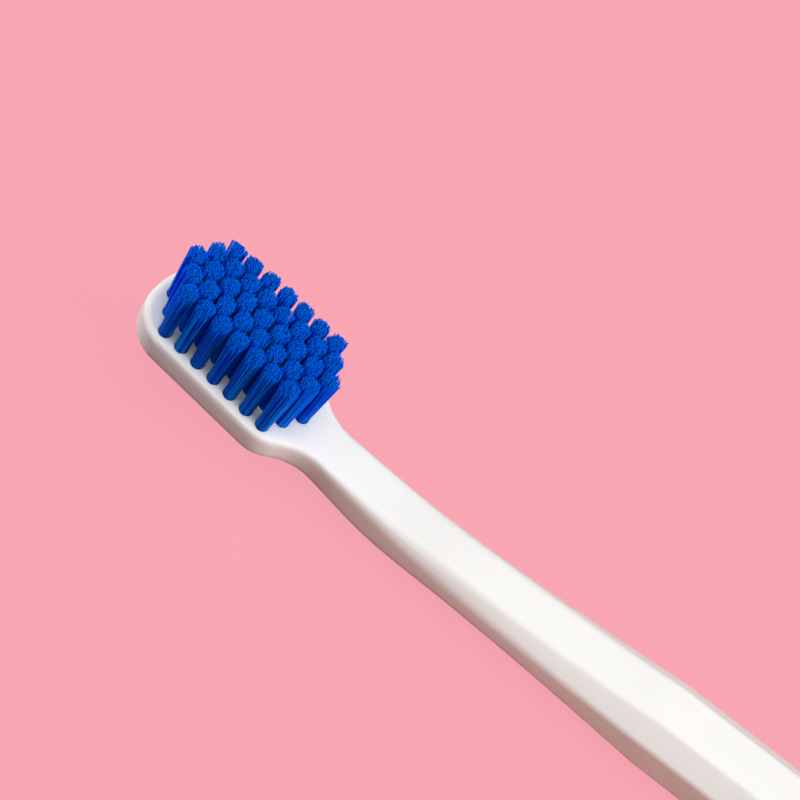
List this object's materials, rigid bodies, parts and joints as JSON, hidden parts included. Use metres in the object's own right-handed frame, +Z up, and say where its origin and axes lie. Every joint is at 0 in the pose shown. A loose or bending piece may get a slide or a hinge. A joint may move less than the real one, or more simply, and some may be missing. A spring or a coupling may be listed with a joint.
{
  "type": "manual toothbrush",
  "caption": "Manual toothbrush with a faceted tapered grip, a slim bent neck and a small rounded head set with staggered rows of dense bristle tufts.",
  "frame": {"origin": "on the surface that the brush lies on, under the middle of its overall length", "axes": "+X along the grip from the head towards the butt, +Y across the brush, +Z up from the back facet, the way the bristles lean out of the tilted head"},
  "size_m": [0.175, 0.0108, 0.0223],
  "materials": {
    "handle": "white satin moulded plastic",
    "bristle": "saturated blue fine filament",
    "anchor": "plain stamped flat wire"
  },
  "bodies": {
    "root": {"handle": "handle", "anchor_plates": "anchor", "tuft_r1_c1": "bristle", "tuft_r1_c2": "bristle", "tuft_r1_c3": "bristle", "tuft_r1_c4": "bristle", "tuft_r1_c5": "bristle", "tuft_r1_c6": "bristle", "tuft_r1_c7": "bristle", "tuft_r2_c1": "bristle", "tuft_r2_c2": "bristle", "tuft_r2_c3": "bristle", "tuft_r2_c4": "bristle", "tuft_r2_c5": "bristle", "tuft_r2_c6": "bristle", "tuft_r2_c7": "bristle", "tuft_r2_c8": "bristle", "tuft_r3_c1": "bristle", "tuft_r3_c2": "bristle", "tuft_r3_c3": "bristle", "tuft_r3_c4": "bristle", "tuft_r3_c5": "bristle", "tuft_r3_c6": "bristle", "tuft_r3_c7": "bristle", "tuft_r3_c8": "bristle", "tuft_r3_c9": "bristle", "tuft_r4_c1": "bristle", "tuft_r4_c2": "bristle", "tuft_r4_c3": "bristle", "tuft_r4_c4": "bristle", "tuft_r4_c5": "bristle", "tuft_r4_c6": "bristle", "tuft_r4_c7": "bristle", "tuft_r4_c8": "bristle", "tuft_r5_c1": "bristle", "tuft_r5_c2": "bristle", "tuft_r5_c3": "bristle", "tuft_r5_c4": "bristle", "tuft_r5_c5": "bristle", "tuft_r5_c6": "bristle", "tuft_r5_c7": "bristle"}
  },
  "joints": []
}
